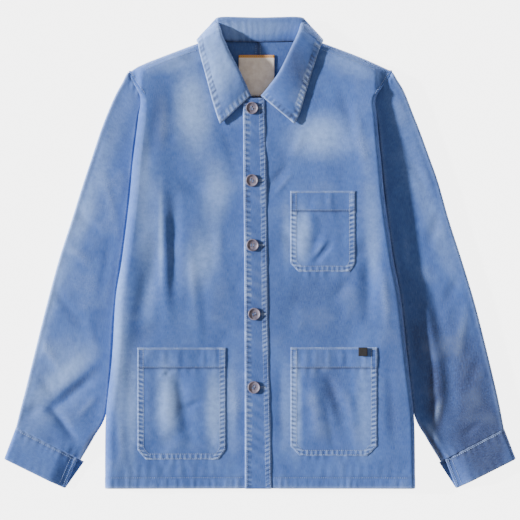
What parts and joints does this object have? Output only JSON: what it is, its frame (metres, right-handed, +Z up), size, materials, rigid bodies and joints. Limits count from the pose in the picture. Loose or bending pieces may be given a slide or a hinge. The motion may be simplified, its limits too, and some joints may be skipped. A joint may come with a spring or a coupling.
{
  "type": "chore jacket",
  "caption": "Washed blue cotton twill work jacket, buttoned and laid flat on its back, with patch pockets, a turned-down collar and long cuffed sleeves spread beside it.",
  "frame": {"origin": "middle of the jacket's outline, on the surface that it lies on", "axes": "+X towards the wearer's left sleeve, +Y from hem to collar, +Z up from the surface"},
  "size_m": [0.82, 0.7554, 0.0322],
  "materials": {
    "twill": "garment-washed cotton twill, mid blue, faded pale at seams, pocket edges and chest",
    "button": "grey-brown moulded buttons, washed dull",
    "label": "soft cream woven label with a mustard top edge, blank",
    "tab": "black woven tab, blank"
  },
  "bodies": {
    "root": {"back_left": "twill", "back_right": "twill", "front_left": "twill", "front_right": "twill", "placket": "twill", "collar": "twill", "sleeve_left_upper": "twill", "sleeve_left_under": "twill", "sleeve_right_upper": "twill", "sleeve_right_under": "twill", "cuff_left": "twill", "cuff_right": "twill", "pocket_chest": "twill", "pocket_left": "twill", "pocket_right": "twill", "pocket_tab": "tab", "neck_label": "label", "button_1": "button", "button_2": "button", "button_3": "button", "button_4": "button", "button_5": "button"}
  },
  "joints": []
}
